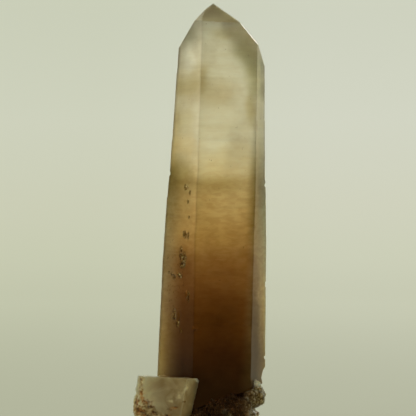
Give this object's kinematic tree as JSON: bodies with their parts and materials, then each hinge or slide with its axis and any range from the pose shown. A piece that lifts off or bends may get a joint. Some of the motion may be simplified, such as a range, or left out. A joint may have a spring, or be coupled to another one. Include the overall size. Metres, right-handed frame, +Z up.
{
  "type": "smoky quartz point",
  "caption": "Smoky quartz point with a lopsided tip, a broken milky crystal beside its foot and a crust of small crystals under both, cut off flat to stand on",
  "frame": {"origin": "middle of the flat cut under the crust, which the specimen stands on", "axes": "+Z up along the point, -Y out of its front side, +X to the right as seen from the front, which is the way that the point leans"},
  "size_m": [0.0281, 0.0265, 0.0854],
  "materials": {
    "smoky_quartz": "gloss",
    "milky_quartz": "satin",
    "iron_stained_druse": "satin"
  },
  "bodies": {
    "root": {"smoky_point": "smoky_quartz", "side_crystal": "milky_quartz", "drusy_foot": "iron_stained_druse"}
  },
  "joints": []
}
